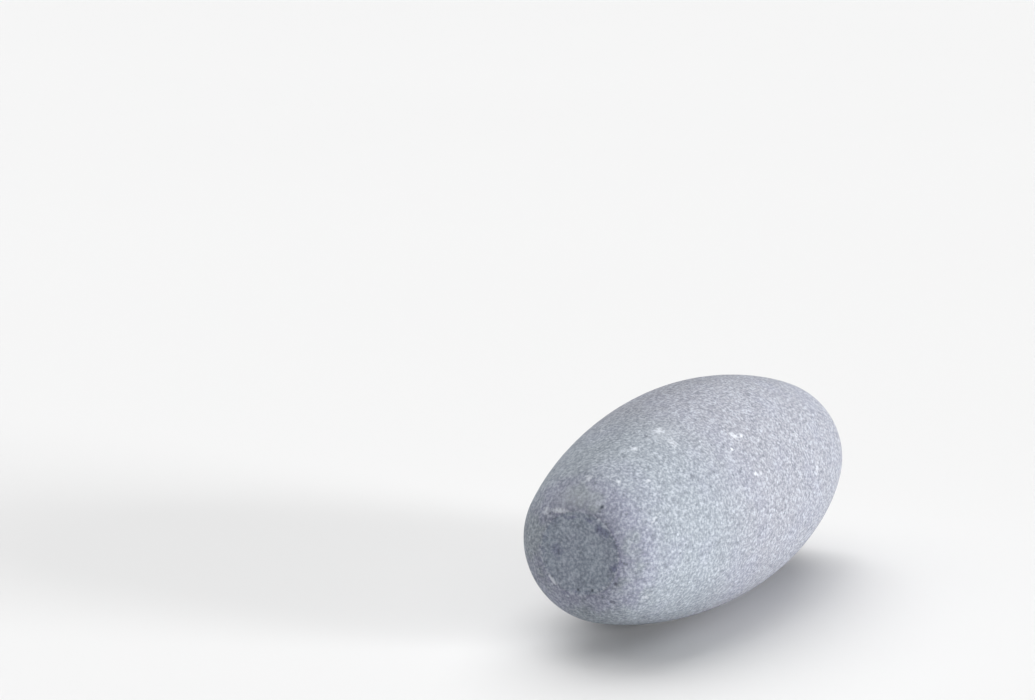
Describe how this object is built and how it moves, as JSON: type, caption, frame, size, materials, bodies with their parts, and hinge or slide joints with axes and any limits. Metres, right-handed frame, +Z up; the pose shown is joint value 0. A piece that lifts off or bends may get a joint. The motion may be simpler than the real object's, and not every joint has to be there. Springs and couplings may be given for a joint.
{
  "type": "barrel-shaped pebble",
  "caption": "Smooth barrel-shaped grey stone pebble with a worn flat at each end, lying on its side.",
  "frame": {"origin": "on the surface that the stone rests on, under the middle of the stone", "axes": "+X along the stone from one worn end to the other, +Z up, the stone lies on its side"},
  "size_m": [0.1, 0.0455, 0.0451],
  "materials": {
    "stone": "matte"
  },
  "bodies": {
    "root": {"pebble": "stone"}
  },
  "joints": []
}
